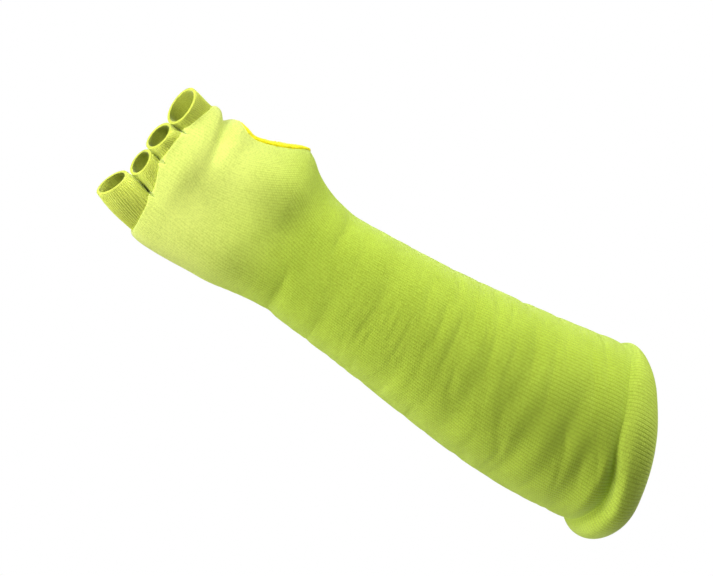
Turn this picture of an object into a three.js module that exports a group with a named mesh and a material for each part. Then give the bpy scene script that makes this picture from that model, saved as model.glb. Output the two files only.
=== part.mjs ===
// A knitted cut resistant sleeve for the right arm, in the form that it has when it is worn.
// Lengths are in millimetres and angles in degrees. The middle of the wrist is the origin, +X runs up
// the sleeve to its elbow end, the palm side faces -Y and the thumb side faces +Z.

import * as THREE from "three";

// The cloth's thickness, and the gaps that the pieces keep
const CLOTH = 1.6;
const PIECE_GAP = 0.3;
const CUFF_GAP = 0.4;

// Cells of the knitted shell, round it and through it
const OUTER_FINGER_CELLS = 6;
const INNER_FINGER_CELLS = 4;
const WEB_CELLS = 4;
const PALM_CELLS = 2 * (OUTER_FINGER_CELLS + INNER_FINGER_CELLS);
const ROUND_CELLS = 2 * PALM_CELLS;
const FINGER_CELLS = 16;

// Courses are counted by the place that they would have on a straight sleeve. Outside the two level
// courses they lean little by little into the lines of the finger roots and of the elbow hem.
const ROOT_COURSE = -94;
const LEVEL_PALM_COURSE = -56;
const WRIST_COURSE = -24;
const LEVEL_FOREARM_COURSE = 40;
const HEM_COURSE = 190;
const ROOT_COURSES = 5;
const THUMB_COURSES = 12;
const FOREARM_COURSES = 32;

// A place on the back's lip of the thumb opening, so near the slit that it has no width
const BACK_LIP = -1e-9;

// Sections across the sleeve: height to the thumb side and to the little finger side, depth to the
// palm side and to the back, and how square the section is, where 2 is an ellipse
const SECTIONS = [
  { x: -106, thumb: 44.5, little: 33.5, palm: 12.5, back: 12.0, square: 2.6 },
  { x: -96, thumb: 45.5, little: 34.0, palm: 14.5, back: 13.5, square: 2.6 },
  { x: -88, thumb: 46.6, little: 36.2, palm: 16.5, back: 14.5, square: 2.5 },
  { x: -78, thumb: 46.2, little: 36.8, palm: 18.5, back: 15.5, square: 2.4 },
  { x: -68, thumb: 46.8, little: 36.7, palm: 20.5, back: 16.5, square: 2.3 },
  { x: -56, thumb: 49.5, little: 36.2, palm: 22.5, back: 17.5, square: 2.2 },
  { x: -46, thumb: 51.6, little: 36.0, palm: 23.5, back: 18.5, square: 2.15 },
  { x: -36, thumb: 53.2, little: 34.8, palm: 24.0, back: 19.5, square: 2.1 },
  { x: -30, thumb: 50.6, little: 33.9, palm: 24.0, back: 20.0, square: 2.1 },
  { x: -23, thumb: 45.2, little: 33.0, palm: 23.8, back: 20.8, square: 2.1 },
  { x: -15, thumb: 41.0, little: 32.4, palm: 23.6, back: 21.6, square: 2.1 },
  { x: -6, thumb: 38.0, little: 33.0, palm: 23.6, back: 22.4, square: 2.1 },
  { x: 6, thumb: 35.8, little: 34.3, palm: 24.4, back: 23.4, square: 2.1 },
  { x: 20, thumb: 36.2, little: 35.8, palm: 26.0, back: 25.0, square: 2.05 },
  { x: 42, thumb: 37.4, little: 38.3, palm: 29.0, back: 28.0, square: 2.0 },
  { x: 66, thumb: 39.0, little: 41.3, palm: 32.5, back: 31.5, square: 2.0 },
  { x: 93, thumb: 41.9, little: 44.8, palm: 36.5, back: 35.5, square: 2.0 },
  { x: 120, thumb: 45.4, little: 47.8, palm: 40.0, back: 39.0, square: 2.0 },
  { x: 146, thumb: 49.1, little: 49.6, palm: 42.5, back: 41.5, square: 2.0 },
  { x: 170, thumb: 53.2, little: 49.5, palm: 44.0, back: 43.0, square: 2.0 },
  { x: 200, thumb: 56.0, little: 47.6, palm: 45.0, back: 44.0, square: 2.0 },
  { x: 226, thumb: 57.5, little: 46.6, palm: 45.0, back: 44.0, square: 2.0 },
];

// Line of the finger roots: the course line's place along the sleeve, by height
const ROOT_LINE = [
  { height: -33, x: -91.5 },
  { height: -11, x: -93.5 },
  { height: 6, x: -97.6 },
  { height: 25, x: -96.0 },
  { height: 46, x: -88.5 },
];

// Heights at which the fingers part, from the thumb side
const FORK_HEIGHTS = [25.0, 6.2, -11.4];
const WEB_REACH = 1.6;

// Groove beside the elbow hem, how far the cloth dips into it, width of the hem and how far it bulges,
// by angle from the thumb side. The two halves of the sleeve are alike here, and the first and last
// rows repeat a neighbour so that they join smoothly.
const HEM_LINE = [
  { angle: -45, groove: 178.5, dip: 0.8, width: 20.0, bulge: 0.0 },
  { angle: 0, groove: 178.5, dip: 0.8, width: 12.5, bulge: 0.0 },
  { angle: 45, groove: 178.5, dip: 0.8, width: 20.0, bulge: 0.0 },
  { angle: 75, groove: 184.0, dip: 1.4, width: 23.5, bulge: 0.0 },
  { angle: 90, groove: 188.0, dip: 2.2, width: 24.0, bulge: 0.0 },
  { angle: 110, groove: 197.0, dip: 3.8, width: 20.5, bulge: 0.5 },
  { angle: 130, groove: 203.0, dip: 3.8, width: 19.5, bulge: 2.0 },
  { angle: 150, groove: 202.5, dip: 2.0, width: 22.8, bulge: 3.2 },
  { angle: 180, groove: 202.5, dip: 1.0, width: 25.0, bulge: 3.0 },
  { angle: 210, groove: 202.5, dip: 2.0, width: 22.8, bulge: 3.2 },
];
const GROOVE_REACH = 4.0;
const HEM_RUN_UP = 12;

// Profile of the turned-in hem: share of its width along the sleeve, height over the plain section and
// share of the groove's depth that it lies in, first down the outside from the groove, then back along
// the inside. The hem runs on in the direction that the section has over the run up to it.
const HEM_PROFILE = [
  { along: 0.0, rise: 0.0, sunk: 1.0 },
  { along: 0.12, rise: 1.4, sunk: 0.4 },
  { along: 0.3, rise: 2.2, sunk: 0.0 },
  { along: 0.52, rise: 1.7, sunk: 0.0 },
  { along: 0.74, rise: 0.1, sunk: 0.0 },
  { along: 0.92, rise: -2.4, sunk: 0.0 },
  { along: 1.0, rise: -5.2, sunk: 0.0 },
  { along: 0.93, rise: -7.4, sunk: 0.0 },
  { along: 0.76, rise: -7.8, sunk: 0.0 },
  { along: 0.4, rise: -6.0, sunk: 0.0 },
  { along: 0.0, rise: -4.2, sunk: 0.6 },
];

// Thumb opening: courses at its finger end and at its elbow end, its half widths by angle on the palm
// side and on the back, how much wider its finger half is than its elbow half, the angle up to which
// the cloth gives way to it, and the power by which that fades
const THUMB_OPENING = { finger: -81, elbow: -33.5, palm: 34, back: 32, skew: 0.2, spread: 125, ease: 1.6 };

// Section of the bound edge round the thumb opening
const BINDING = { width: 2.6, depth: 2.6, cells: 8 };

// Round swellings of the cloth (plus) and hollows in it (minus), on the palm side or on the back
const SWELLINGS = [
  { side: "palm", x: -52, height: 24, along: 20, across: 15, rise: 5.5 },
  { side: "palm", x: -50, height: -22, along: 24, across: 11, rise: 3.0 },
  { side: "palm", x: -66, height: 2, along: 20, across: 12, rise: -3.5 },
  { side: "palm", x: -73, height: 38, along: 6, across: 13, rise: 2.2 },
  { side: "palm", x: -88, height: 14, along: 7, across: 26, rise: 1.6 },
  { side: "back", x: -88, height: 14, along: 9, across: 24, rise: 2.0 },
  { side: "back", x: -60, height: 6, along: 26, across: 20, rise: 2.0 },
];

// Share of a section's half, by its sine, in which the forms of the palm side and the back fade out
const SIDE_BLEND = 0.35;

// Valley folds in the palm side: two ends, depth and half width
const PALM_FOLDS = [
  { fromX: -22, fromHeight: 38, toX: -42, toHeight: 0, depth: 2.0, reach: 7.0, fade: 0.6 },
];

// Creases round the sleeve: place along it, middle angle and half reach round it, depth (minus: a
// ridge), half width and lean, the shift along the sleeve over the half reach
const CREASES = [
  { x: -81.4, angle: 12, reach: 78, depth: 5.0, width: 3.4, lean: 4 },
  { x: -10, angle: 150, reach: 60, depth: 0.9, width: 4.0, lean: 5 },
  { x: 4, angle: 40, reach: 50, depth: 0.7, width: 5.0, lean: -4 },
  { x: 16, angle: 120, reach: 60, depth: 0.7, width: 5.0, lean: 4 },
  { x: 38, angle: 80, reach: 60, depth: 0.7, width: 6.0, lean: 3 },
  { x: 62, angle: 140, reach: 55, depth: 0.8, width: 6.0, lean: -3 },
  { x: 84, angle: 70, reach: 60, depth: 0.8, width: 6.0, lean: 4 },
  { x: 104, angle: 120, reach: 70, depth: 1.1, width: 6.5, lean: 4 },
  { x: 124, angle: 75, reach: 60, depth: 1.1, width: 6.0, lean: 3 },
  { x: 143, angle: 130, reach: 65, depth: 1.3, width: 6.0, lean: 4 },
  { x: 160, angle: 95, reach: 60, depth: 1.2, width: 5.5, lean: 5 },
  { x: 179, angle: 125, reach: 50, depth: 1.2, width: 4.5, lean: 7 },
  { x: 191, angle: 122, reach: 46, depth: -1.4, width: 3.6, lean: 7 },
  { x: 20, angle: 265, reach: 70, depth: 0.8, width: 6.0, lean: -3 },
  { x: 58, angle: 285, reach: 70, depth: 0.8, width: 6.0, lean: 4 },
  { x: 96, angle: 260, reach: 70, depth: 1.0, width: 6.5, lean: 3 },
  { x: 132, angle: 280, reach: 70, depth: 1.2, width: 6.0, lean: -4 },
  { x: 164, angle: 255, reach: 60, depth: 1.3, width: 5.5, lean: 4 },
];

// Finger cuffs: the free end's middle, its half height (high) and half depth (deep), how far the finger
// points up and curls to the palm side, and how far the cuff swells between its ends
const CUFFS = [
  { name: "index_cuff", x: -105.6, y: -6.0, z: 36.7, high: 10.8, deep: 11.0, up: 2, curl: 19, swell: 0 },
  { name: "middle_cuff", x: -107.6, y: -5.0, z: 17.0, high: 8.4, deep: 10.5, up: 10, curl: 15, swell: 0.2 },
  { name: "ring_cuff", x: -108.6, y: -5.5, z: 0.3, high: 7.6, deep: 10.0, up: 4, curl: 15, swell: 0.2 },
  { name: "little_cuff", x: -116.2, y: -8.0, z: -16.6, high: 9.3, deep: 9.6, up: 22, curl: 14, swell: 1.0 },
];

// Finger roots: their length past the fork and how far they narrow. The cuff begins a step lower.
const ROOT_STUB = 2.2;
const ROOT_TAPER = 0.7;
const CUFF_STEP = 0.5;
const CUFF_COURSES = 4;

const FINISHES = {
  knit: { color: 0xc8da5f, roughness: 0.9, metalness: 0 },
  hem: { color: 0xc2d255, roughness: 0.9, metalness: 0 },
  cuff: { color: 0xbfc63c, roughness: 0.9, metalness: 0 },
  binding: { color: 0xf5ee1e, roughness: 0.75, metalness: 0 },
};

const radians = (degrees) => degrees * Math.PI / 180;
const mix = (from, to, share) => from + (to - from) * share;
const bell = (distance, width) => Math.exp(-((distance / width) ** 2));

function smoothStep(share) {
  const held = Math.min(Math.max(share, 0), 1);
  return held * held * (3 - 2 * held);
}

// Value of one column of a table, on a smooth curve through its rows
function fromTable(table, key, place, column) {
  const last = table.length - 1;
  let row = 0;
  while (row < last - 1 && place > table[row + 1][key]) {
    row += 1;
  }
  const slopeAt = (index) => {
    const low = table[Math.max(index - 1, 0)];
    const high = table[Math.min(index + 1, last)];
    return (high[column] - low[column]) / (high[key] - low[key]);
  };
  const start = table[row];
  const end = table[row + 1];
  const span = end[key] - start[key];
  const share = Math.min(Math.max((place - start[key]) / span, 0), 1);
  const rise = end[column] - start[column];
  const bendStart = slopeAt(row) * span - rise;
  const bendEnd = rise - slopeAt(row + 1) * span;
  return start[column] + rise * share + share * (1 - share) * (bendStart * (1 - share) + bendEnd * share);
}

const section = (x, column) => fromTable(SECTIONS, "x", x, column);
const hemLine = (angle, column) => fromTable(HEM_LINE, "angle", Math.min(angle, 360 - angle), column);

// Half angles between 0 at the thumb side and 180 at the little finger side, at which the cells of
// the finger roots part
function forkAngle(height) {
  const x = fromTable(ROOT_LINE, "height", height, "x");
  const middle = (section(x, "thumb") - section(x, "little")) / 2;
  const half = (section(x, "thumb") + section(x, "little")) / 2;
  const share = (height - middle) / half;
  return Math.acos(Math.sign(share) * Math.abs(share) ** (section(x, "square") / 2)) * 180 / Math.PI;
}

const FORK_CELLS = [
  OUTER_FINGER_CELLS,
  OUTER_FINGER_CELLS + INNER_FINGER_CELLS,
  OUTER_FINGER_CELLS + 2 * INNER_FINGER_CELLS,
];
const ROOT_ANGLES = [0, ...FORK_HEIGHTS.map(forkAngle), 180];
const ROOT_CELLS = [0, ...FORK_CELLS, PALM_CELLS];

// Angle from the thumb side of a cell's corner that lies a number of cells from it
function cellAngle(cells, course) {
  const even = 180 * cells / PALM_CELLS;
  let part = 0;
  while (part < ROOT_CELLS.length - 2 && cells > ROOT_CELLS[part + 1]) {
    part += 1;
  }
  const share = (cells - ROOT_CELLS[part]) / (ROOT_CELLS[part + 1] - ROOT_CELLS[part]);
  const parted = mix(ROOT_ANGLES[part], ROOT_ANGLES[part + 1], share);
  return mix(even, parted, smoothStep((WRIST_COURSE - course) / (WRIST_COURSE - ROOT_COURSE)));
}

// Share of the thumb opening's full half width at a course
function openingShare(course) {
  const middle = (THUMB_OPENING.finger + THUMB_OPENING.elbow) / 2;
  const half = (THUMB_OPENING.elbow - THUMB_OPENING.finger) / 2;
  const along = (course - middle) / half;
  return Math.sqrt(Math.max(1 - along ** 2, 0)) * (1 - THUMB_OPENING.skew * along);
}

// Angle after the cloth has given way to the thumb opening
function openedAngle(angle, course, halfWidth) {
  const room = Math.max(1 - angle / THUMB_OPENING.spread, 0);
  return angle + halfWidth * openingShare(course) * room ** THUMB_OPENING.ease;
}

// Place along the sleeve of a course at an angle and height
function courseX(course, angle, height) {
  const rootShift = fromTable(ROOT_LINE, "height", height, "x") - ROOT_COURSE;
  const hemShift = hemLine(angle, "groove") - HEM_COURSE;
  const rootShare = smoothStep((LEVEL_PALM_COURSE - course) / (LEVEL_PALM_COURSE - ROOT_COURSE));
  const hemShare = smoothStep((course - LEVEL_FOREARM_COURSE) / (HEM_COURSE - LEVEL_FOREARM_COURSE));
  return course + rootShift * rootShare + hemShift * hemShare;
}

// How far the cloth stands out of its section at a point, by swellings, folds, creases and the groove
function relief(x, angle, height, side) {
  let sided = 0;
  for (const swelling of SWELLINGS.filter((row) => row.side === side)) {
    const along = bell(x - swelling.x, swelling.along);
    sided += swelling.rise * along * bell(height - swelling.height, swelling.across);
  }
  if (side === "palm") {
    sided -= foldDepth(x, height);
  }
  const groove = hemLine(angle, "dip") * bell(x - hemLine(angle, "groove"), GROOVE_REACH);
  let rise = sided * smoothStep(Math.abs(Math.sin(radians(angle))) / SIDE_BLEND) - groove;
  for (const crease of CREASES) {
    const turn = (angle - crease.angle + 540) % 360 - 180;
    const share = turn / crease.reach;
    if (Math.abs(share) < 1) {
      const across = x - crease.x - crease.lean * share;
      rise -= crease.depth * bell(across, crease.width) * (1 - share * share) ** 2;
    }
  }
  return rise;
}

// Depth of the valley folds at a point of the palm side
function foldDepth(x, height) {
  let depth = 0;
  for (const fold of PALM_FOLDS) {
    const runX = fold.toX - fold.fromX;
    const runHeight = fold.toHeight - fold.fromHeight;
    const length = runX ** 2 + runHeight ** 2;
    const share = ((x - fold.fromX) * runX + (height - fold.fromHeight) * runHeight) / length;
    const held = Math.min(Math.max(share, 0), 1);
    const away = Math.hypot(x - fold.fromX - runX * held, height - fold.fromHeight - runHeight * held);
    depth += fold.depth * bell(away, fold.reach) * (1 - fold.fade * held);
  }
  return depth;
}

// Point of the sleeve's outside, at cells from the thumb side towards the palm side (minus: the back),
// with its swellings and folds or plain
function skinPoint(cells, course, folded = true) {
  const side = cells >= 0 ? "palm" : "back";
  const halfWidth = THUMB_OPENING[side];
  const half = openedAngle(cellAngle(Math.abs(cells), course), course, halfWidth);
  const angle = side === "palm" ? half : 360 - half;
  const flatHeight = sectionHeight(course, half);
  const x = courseX(course, angle, flatHeight);
  const height = sectionHeight(x, half);
  const stand = Math.sin(radians(half)) ** (2 / section(x, "square"));
  const depth = section(x, side) * stand;
  const rise = folded ? relief(x, angle, height, side) : 0;
  const outY = Math.sin(radians(half)) * (side === "palm" ? -1 : 1);
  const outZ = Math.cos(radians(half));
  const palmWard = side === "palm" ? -depth : depth;
  return new THREE.Vector3(x, palmWard + outY * rise, height + outZ * rise);
}

// Height of a section at an angle from the thumb side
function sectionHeight(x, half) {
  const middle = (section(x, "thumb") - section(x, "little")) / 2;
  const reach = (section(x, "thumb") + section(x, "little")) / 2;
  const cosine = Math.cos(radians(half));
  return middle + reach * Math.sign(cosine) * Math.abs(cosine) ** (2 / section(x, "square"));
}

// Courses of the body, from the finger roots to the groove beside the hem
function bodyCourses() {
  const courses = [];
  for (let step = 0; step < ROOT_COURSES; step += 1) {
    courses.push(mix(ROOT_COURSE, THUMB_OPENING.finger, step / ROOT_COURSES));
  }
  const middle = (THUMB_OPENING.finger + THUMB_OPENING.elbow) / 2;
  const half = (THUMB_OPENING.elbow - THUMB_OPENING.finger) / 2;
  for (let step = 0; step <= THUMB_COURSES; step += 1) {
    courses.push(middle - half * Math.cos(Math.PI * step / THUMB_COURSES));
  }
  for (let step = 1; step <= FOREARM_COURSES; step += 1) {
    courses.push(mix(THUMB_OPENING.elbow, HEM_COURSE, step / FOREARM_COURSES));
  }
  return courses;
}

// Cloth that is made of outer points and four-cornered cells, with its inside and its edges
class Cloth {
  constructor() {
    this.points = [];
    this.cells = [];
    this.setNormals = new Map();
  }

  add(point) {
    this.points.push(point);
    return this.points.length - 1;
  }

  // Cells between two rows of corners, the second row lying further up the sleeve
  join(lower, upper, closed) {
    const count = closed ? lower.length : lower.length - 1;
    for (let index = 0; index < count; index += 1) {
      const next = (index + 1) % lower.length;
      this.cells.push([lower[index], lower[next], upper[next], upper[index]]);
    }
  }

  normals() {
    const sums = this.points.map(() => new THREE.Vector3());
    for (const cell of this.cells) {
      const corners = cell.map((corner) => this.points[corner]);
      const across = corners[2].clone().sub(corners[0]);
      const normal = corners[1].clone().sub(corners[3]).cross(across).normalize();
      for (const corner of cell) {
        sums[corner].add(normal);
      }
    }
    for (const [corner, normal] of this.setNormals) {
      sums[corner].copy(normal);
    }
    return sums.map((sum) => sum.normalize());
  }

  // Edges that only one cell has, each in that cell's direction
  edges() {
    const seen = new Map();
    for (const cell of this.cells) {
      cell.forEach((corner, index) => {
        const next = cell[(index + 1) % cell.length];
        seen.set(`${corner},${next}`, [corner, next]);
      });
    }
    return [...seen.values()].filter(([from, to]) => !seen.has(`${to},${from}`));
  }

  solid(thickness) {
    const normals = this.normals();
    const inner = (point, index) => point.clone().addScaledVector(normals[index], -thickness);
    const inside = this.points.map(inner);
    const count = this.points.length;
    const triangles = [];
    for (const [a, b, c, d] of this.cells) {
      const first = this.points[a].distanceTo(this.points[c]);
      const second = this.points[b].distanceTo(this.points[d]);
      const halves = first <= second ? [[a, b, c], [a, c, d]] : [[b, c, d], [b, d, a]];
      for (const [p, q, r] of halves) {
        triangles.push([p, q, r], [r + count, q + count, p + count]);
      }
    }
    for (const [from, to] of this.edges()) {
      triangles.push([to, from, from + count], [to, from + count, to + count]);
    }
    return solidGeometry([...this.points, ...inside], triangles);
  }
}

function solidGeometry(points, triangles) {
  const geometry = new THREE.BufferGeometry();
  const places = new Float32Array(points.flatMap((point) => [point.x, point.y, point.z]));
  geometry.setAttribute("position", new THREE.BufferAttribute(places, 3));
  geometry.setIndex(triangles.flat());
  geometry.computeVertexNormals();
  return geometry;
}

// Rows of corners round the body; across the thumb opening the first and the last corner differ
function bodyRows(cloth) {
  const courses = bodyCourses();
  return courses.map((course, row) => {
    const open = row > ROOT_COURSES && row < ROOT_COURSES + THUMB_COURSES;
    const corners = [];
    for (let cells = 0; cells < ROUND_CELLS; cells += 1) {
      corners.push(cloth.add(skinPoint(cells <= PALM_CELLS ? cells : cells - ROUND_CELLS, course)));
    }
    if (open) {
      corners.push(cloth.add(skinPoint(BACK_LIP, course)));
    }
    return { corners, open };
  });
}

function joinBody(cloth, rows) {
  for (let row = 0; row + 1 < rows.length; row += 1) {
    const lower = rows[row];
    const upper = rows[row + 1];
    const slit = lower.open || upper.open;
    const close = (ring) => (ring.open ? ring.corners : [...ring.corners, ring.corners[0]]);
    if (slit) {
      cloth.join(close(lower), close(upper), false);
    } else {
      cloth.join(lower.corners, upper.corners, true);
    }
  }
}

// Corners of the line between two fingers, from the palm side to the back
function webLine(cloth, root, fork) {
  const front = root[fork];
  const rear = root[ROUND_CELLS - fork];
  const line = [front];
  for (let step = 1; step < WEB_CELLS; step += 1) {
    const share = step / WEB_CELLS;
    const point = cloth.points[front].clone().lerp(cloth.points[rear], share);
    point.x -= WEB_REACH * Math.sin(Math.PI * share);
    line.push(cloth.add(point));
  }
  line.push(rear);
  return line;
}

// Loops of corners round the four finger roots, each with the angle of its first corner
function fingerLoops(cloth, root) {
  const webs = FORK_CELLS.map((fork) => webLine(cloth, root, fork));
  const run = (from, to) => {
    const corners = [];
    for (let cells = from; cells <= to; cells += 1) {
      corners.push(root[(cells + ROUND_CELLS) % ROUND_CELLS]);
    }
    return corners;
  };
  const loops = [];
  const forks = [0, ...FORK_CELLS, PALM_CELLS];
  for (let finger = 0; finger < CUFFS.length; finger += 1) {
    const upperWeb = finger > 0 ? [...webs[finger - 1]].reverse() : null;
    const lowerWeb = webs[finger] ?? null;
    const palmRun = run(forks[finger], forks[finger + 1]);
    const backRun = run(-forks[finger + 1], -forks[finger]);
    const loop = [...palmRun];
    loop.push(...(lowerWeb ? lowerWeb.slice(1) : []));
    loop.push(...backRun.slice(1));
    loop.push(...(upperWeb ? upperWeb.slice(1) : []));
    loop.pop();
    loops.push({ corners: loop, first: finger > 0 ? 180 * WEB_CELLS / FINGER_CELLS : 0 });
  }
  return loops;
}

// Point of a finger's free end at an angle round it, from the thumb side through the palm side
function cuffEndPoint(cuff, angle) {
  const out = new THREE.Vector3(-Math.cos(radians(cuff.up)), 0, Math.sin(radians(cuff.up)));
  const upward = new THREE.Vector3(Math.sin(radians(cuff.up)), 0, Math.cos(radians(cuff.up)));
  const palmward = new THREE.Vector3(0, -Math.cos(radians(cuff.curl)), 0);
  palmward.addScaledVector(out, -Math.sin(radians(cuff.curl)));
  const point = new THREE.Vector3(cuff.x, cuff.y, cuff.z);
  point.addScaledVector(upward, cuff.high * Math.cos(radians(angle)));
  return point.addScaledVector(palmward, cuff.deep * Math.sin(radians(angle)));
}

function middleOf(points) {
  const sum = points.reduce((total, point) => total.add(point), new THREE.Vector3());
  return sum.divideScalar(points.length);
}

// A finger's root loop, its free end and the axis between their middles
function fingerForm(roots, first, cuff) {
  const ends = roots.map((root, index) => cuffEndPoint(cuff, first + 360 * index / FINGER_CELLS));
  const axis = middleOf(ends).sub(middleOf(roots)).normalize();
  return { roots, ends, axis, swell: cuff.swell };
}

// Directions out from the middle of a row, square to an axis
function outwards(row, axis) {
  const middle = middleOf(row);
  return row.map((point) => {
    const outward = point.clone().sub(middle);
    return outward.addScaledVector(axis, -outward.dot(axis)).normalize();
  });
}

// Points of a row moved towards their middle, square to an axis
function narrowed(row, axis, inset) {
  const outward = outwards(row, axis);
  return row.map((point, index) => point.clone().addScaledVector(outward[index], -inset));
}

function buildBody() {
  const cloth = new Cloth();
  const rows = bodyRows(cloth);
  joinBody(cloth, rows);
  const loops = fingerLoops(cloth, rows[0].corners);
  const fingers = loops.map((loop, index) => {
    const roots = loop.corners.map((corner) => cloth.points[corner].clone());
    const finger = fingerForm(roots, loop.first, CUFFS[index]);
    const stubEnd = narrowed(roots, finger.axis, ROOT_TAPER);
    const stub = stubEnd.map((point) => cloth.add(point.addScaledVector(finger.axis, ROOT_STUB)));
    const outward = outwards(stubEnd, finger.axis);
    stub.forEach((corner, place) => cloth.setNormals.set(corner, outward[place]));
    cloth.join(stub, loop.corners, true);
    return finger;
  });
  const end = rows[rows.length - 1].corners.map((corner, index) => {
    const cells = index <= PALM_CELLS ? index : index - ROUND_CELLS;
    const point = skinPoint(cells, HEM_COURSE, false);
    const along = point.clone().sub(skinPoint(cells, HEM_COURSE - HEM_RUN_UP, false)).normalize();
    const out = new THREE.Vector3(0, point.y, point.z).normalize();
    out.addScaledVector(along, -out.dot(along)).normalize();
    cloth.setNormals.set(corner, out);
    return { point, along, out, sunk: point.clone().sub(cloth.points[corner]).dot(out) };
  });
  return { cloth, rows, fingers, normals: cloth.normals(), end };
}

// Ribbed cuff of one finger, from just past its root to its free end
function cuffGeometry(finger) {
  const cloth = new Cloth();
  const rows = [];
  for (let step = 0; step <= CUFF_COURSES; step += 1) {
    const share = step / CUFF_COURSES;
    const rootInset = (ROOT_TAPER + CUFF_STEP) * (1 - smoothStep(share));
    const inset = rootInset - finger.swell * Math.sin(Math.PI * share);
    const row = finger.roots.map((root, index) => {
      const start = root.clone().addScaledVector(finger.axis, ROOT_STUB + CUFF_GAP);
      return start.lerp(finger.ends[index], share);
    });
    rows.push(narrowed(row, finger.axis, inset).map((point) => cloth.add(point)));
  }
  const outward = outwards(rows[0].map((corner) => cloth.points[corner]), finger.axis);
  rows[0].forEach((corner, place) => cloth.setNormals.set(corner, outward[place]));
  for (let step = 0; step < CUFF_COURSES; step += 1) {
    cloth.join(rows[step + 1], rows[step], true);
  }
  return cloth.solid(CLOTH);
}

// Closed ring that a section of points sweeps, one section at each station
function ringGeometry(stations) {
  const cells = stations[0].length;
  const triangles = [];
  stations.forEach((station, index) => {
    const next = (index + 1) % stations.length;
    for (let side = 0; side < cells; side += 1) {
      const after = (side + 1) % cells;
      const a = index * cells + side;
      const b = index * cells + after;
      const c = next * cells + after;
      const d = next * cells + side;
      triangles.push([a, b, c], [a, c, d]);
    }
  });
  return solidGeometry(stations.flat(), triangles);
}

// Turned-in hem: a folded strip of cloth that runs round the elbow end
function hemGeometry(body) {
  const stations = body.end.map(({ point, along, out, sunk }, cells) => {
    const angle = 360 * cells / ROUND_CELLS;
    const width = hemLine(angle, "width");
    const bulge = hemLine(angle, "bulge");
    const place = (row) => {
      const foot = point.clone().addScaledVector(along, PIECE_GAP + row.along * width);
      return foot.addScaledVector(out, row.rise - row.sunk * sunk + bulge * Math.sin(Math.PI * row.along));
    };
    const round = new THREE.Vector3().crossVectors(along, out);
    const outside = HEM_PROFILE.map(place);
    const inside = outside.map((spot, index) => {
      const before = index > 0 ? outside[index - 1] : spot;
      const after = index + 1 < outside.length ? outside[index + 1] : spot;
      const run = after.clone().sub(before);
      if (before === spot || after === spot) {
        run.projectOnVector(along);
      }
      const outward = new THREE.Vector3().crossVectors(round, run).normalize();
      return spot.clone().addScaledVector(outward, -CLOTH);
    });
    return [...inside, ...outside.reverse()];
  });
  return ringGeometry(stations);
}

// Corners round the thumb opening, along its palm side to the finger end and back along the back
function openingLoop(rows) {
  const palm = [];
  const back = [];
  for (let row = ROOT_COURSES; row <= ROOT_COURSES + THUMB_COURSES; row += 1) {
    palm.push(rows[row].corners[0]);
    if (rows[row].open) {
      back.push(rows[row].corners[ROUND_CELLS]);
    }
  }
  return [...palm.reverse(), ...back];
}

// Bound edge: a padded ring of thread that fills the rim of the thumb opening
function bindingGeometry(body) {
  const loop = openingLoop(body.rows);
  const points = loop.map((corner) => body.cloth.points[corner]);
  const stations = points.map((point, index) => {
    const before = points[(index + points.length - 1) % points.length];
    const after = points[(index + 1) % points.length];
    const run = after.clone().sub(before).normalize();
    const out = body.normals[loop[index]].clone();
    out.addScaledVector(run, -out.dot(run)).normalize();
    const open = new THREE.Vector3().crossVectors(run, out).normalize();
    const middle = point.clone().addScaledVector(out, -CLOTH / 2);
    middle.addScaledVector(open, PIECE_GAP + BINDING.width / 2);
    const section = [];
    for (let side = 0; side < BINDING.cells; side += 1) {
      const turn = 2 * Math.PI * side / BINDING.cells;
      const spot = middle.clone().addScaledVector(open, -Math.cos(turn) * BINDING.width / 2);
      section.push(spot.addScaledVector(out, Math.sin(turn) * BINDING.depth / 2));
    }
    return section;
  });
  return ringGeometry(stations);
}

function piece(name, geometry, finish) {
  const mesh = new THREE.Mesh(geometry, new THREE.MeshStandardMaterial(finish));
  mesh.name = name;
  return mesh;
}

const sleeve = new THREE.Group();
const body = buildBody();
sleeve.add(piece("sleeve_body", body.cloth.solid(CLOTH), FINISHES.knit));
sleeve.add(piece("elbow_hem", hemGeometry(body), FINISHES.hem));
CUFFS.forEach((cuff, index) => {
  sleeve.add(piece(cuff.name, cuffGeometry(body.fingers[index]), FINISHES.cuff));
});
sleeve.add(piece("thumb_binding", bindingGeometry(body), FINISHES.binding));

export default sleeve;
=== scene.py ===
"""A knitted cut resistant sleeve for the right arm, in the form that it has when it is worn.

Tables and sizes are in millimetres and degrees, as in the part's source, and become metres in the meshes.
The middle of the wrist is the origin, +X runs up the sleeve, the palm side faces -Y and the thumb side +Z.
"""

import math

import bpy
import numpy as np
from mathutils import Matrix, Vector


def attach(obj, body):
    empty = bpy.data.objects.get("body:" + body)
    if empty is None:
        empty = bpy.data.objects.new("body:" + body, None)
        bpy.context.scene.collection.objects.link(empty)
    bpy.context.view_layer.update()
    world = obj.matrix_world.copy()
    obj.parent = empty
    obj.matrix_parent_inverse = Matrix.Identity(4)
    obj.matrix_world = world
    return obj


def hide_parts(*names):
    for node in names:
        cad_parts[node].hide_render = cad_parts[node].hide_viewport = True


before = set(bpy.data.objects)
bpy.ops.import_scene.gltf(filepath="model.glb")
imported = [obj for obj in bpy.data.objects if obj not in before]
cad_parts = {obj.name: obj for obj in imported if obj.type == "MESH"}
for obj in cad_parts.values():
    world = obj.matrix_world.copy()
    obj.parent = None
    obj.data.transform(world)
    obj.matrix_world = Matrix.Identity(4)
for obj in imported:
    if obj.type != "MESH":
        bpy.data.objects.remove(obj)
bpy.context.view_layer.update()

MM = 0.001
# Length below which a vector counts as none
TINY = 1e-12

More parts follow.
